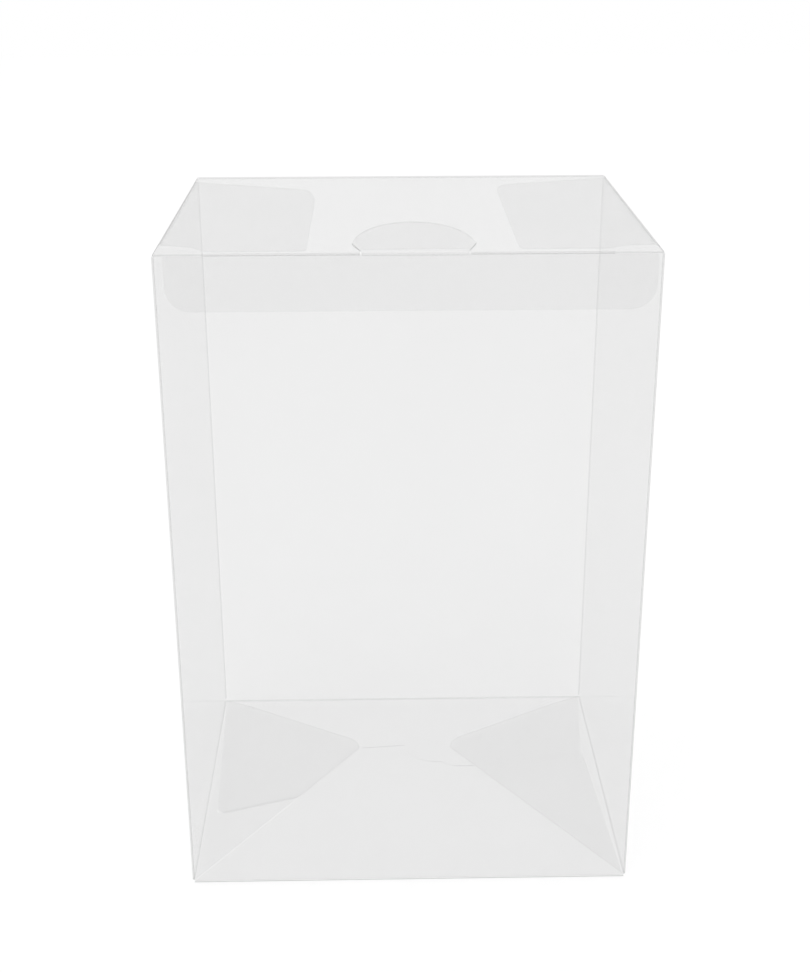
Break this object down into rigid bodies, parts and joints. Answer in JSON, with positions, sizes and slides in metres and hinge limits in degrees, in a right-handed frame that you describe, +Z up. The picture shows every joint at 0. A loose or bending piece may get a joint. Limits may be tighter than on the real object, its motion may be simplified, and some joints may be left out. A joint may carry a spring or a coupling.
{
  "type": "figure box protector",
  "caption": "Clear folding box of plastic film with a tuck lid, a locking tab and an interlocked bottom, to protect a boxed figure.",
  "frame": {"origin": "middle of the underside, on the surface that the box stands on", "axes": "+Z up, +X to the right as the front with the locking tab is looked at, +Y to the back"},
  "size_m": [0.117, 0.096, 0.172],
  "materials": {
    "clear_film": "clear glossy film"
  },
  "bodies": {
    "root": {"protector": "clear_film"}
  },
  "joints": []
}
